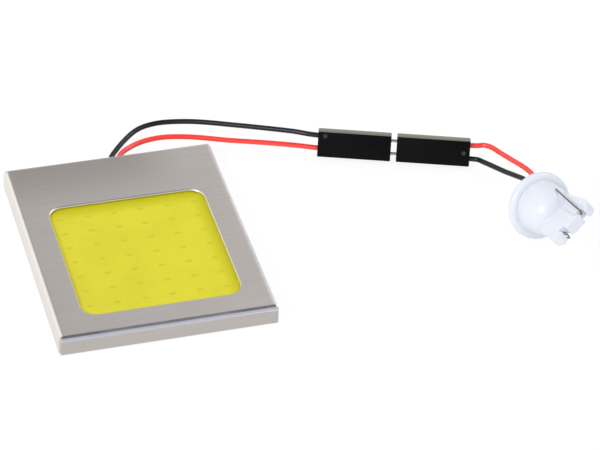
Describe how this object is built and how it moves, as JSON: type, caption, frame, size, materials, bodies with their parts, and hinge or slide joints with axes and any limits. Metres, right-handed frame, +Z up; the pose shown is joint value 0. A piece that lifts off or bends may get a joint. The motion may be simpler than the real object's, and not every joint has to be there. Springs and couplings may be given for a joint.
{
  "type": "cob led",
  "caption": "Chip-on-board light panel in a folded aluminium case on an adhesive pad, with two leads, an in-line plug and socket and a wedge lamp-base adapter.",
  "frame": {"origin": "under the middle of the folded case, on the surface that the panel lies on", "axes": "+Z up out of the lit face, +X across the panel to the side of the adapter, +Y towards the edge where the leads leave"},
  "size_m": [0.1004, 0.0603, 0.0139],
  "materials": {
    "case_sheet": "fine brushed, folded sheet, satin",
    "board_core": "plain rolled, cut edges",
    "solder_mask": "thin white solder mask, semi-gloss",
    "land_metal": "thin plated copper lands",
    "dam_silicone": "white silicone bead, satin",
    "phosphor": "yellow phosphor in silicone, satin",
    "chip_crystal": "small crystal chips, smooth",
    "resistor_body": "black glazed film resistor",
    "tinned_metal": "tinned terminations",
    "solder": "tin solder, bright, slightly grainy",
    "tape_foam": "double-sided bonding tape",
    "pad_foam": "white acrylic foam, adhesive both sides",
    "liner_paper": "coated release paper, smooth",
    "black_jacket": "black flexible insulation, satin",
    "red_jacket": "red flexible insulation, satin",
    "housing_plastic": "moulded black plastic, fine matt",
    "contact_metal": "tinned phosphor bronze crimp contacts",
    "wedge_plastic": "moulded white plastic, smooth",
    "fill_resin": "cast potting resin",
    "wire_metal": "tinned copper wire"
  },
  "bodies": {
    "root": {"case_shell": "case_sheet", "circuit_board": "board_core", "board_face": "solder_mask", "solder_lands": "land_metal", "silicone_dam": "dam_silicone", "phosphor_layer": "phosphor", "led_chips": "chip_crystal", "resistors": "resistor_body", "resistor_caps": "tinned_metal", "solder_joints": "solder", "side_tapes": "tape_foam", "foam_pad": "pad_foam", "release_liner": "liner_paper", "black_lead": "black_jacket", "red_lead": "red_jacket", "socket_housing": "housing_plastic", "pin_housing": "housing_plastic", "socket_contacts": "contact_metal", "pin_contacts": "contact_metal", "red_tail_lead": "red_jacket", "black_tail_lead": "black_jacket", "wedge_body": "wedge_plastic", "wedge_fill": "fill_resin", "front_contact_wire": "wire_metal", "rear_contact_wire": "wire_metal"}
  },
  "joints": []
}
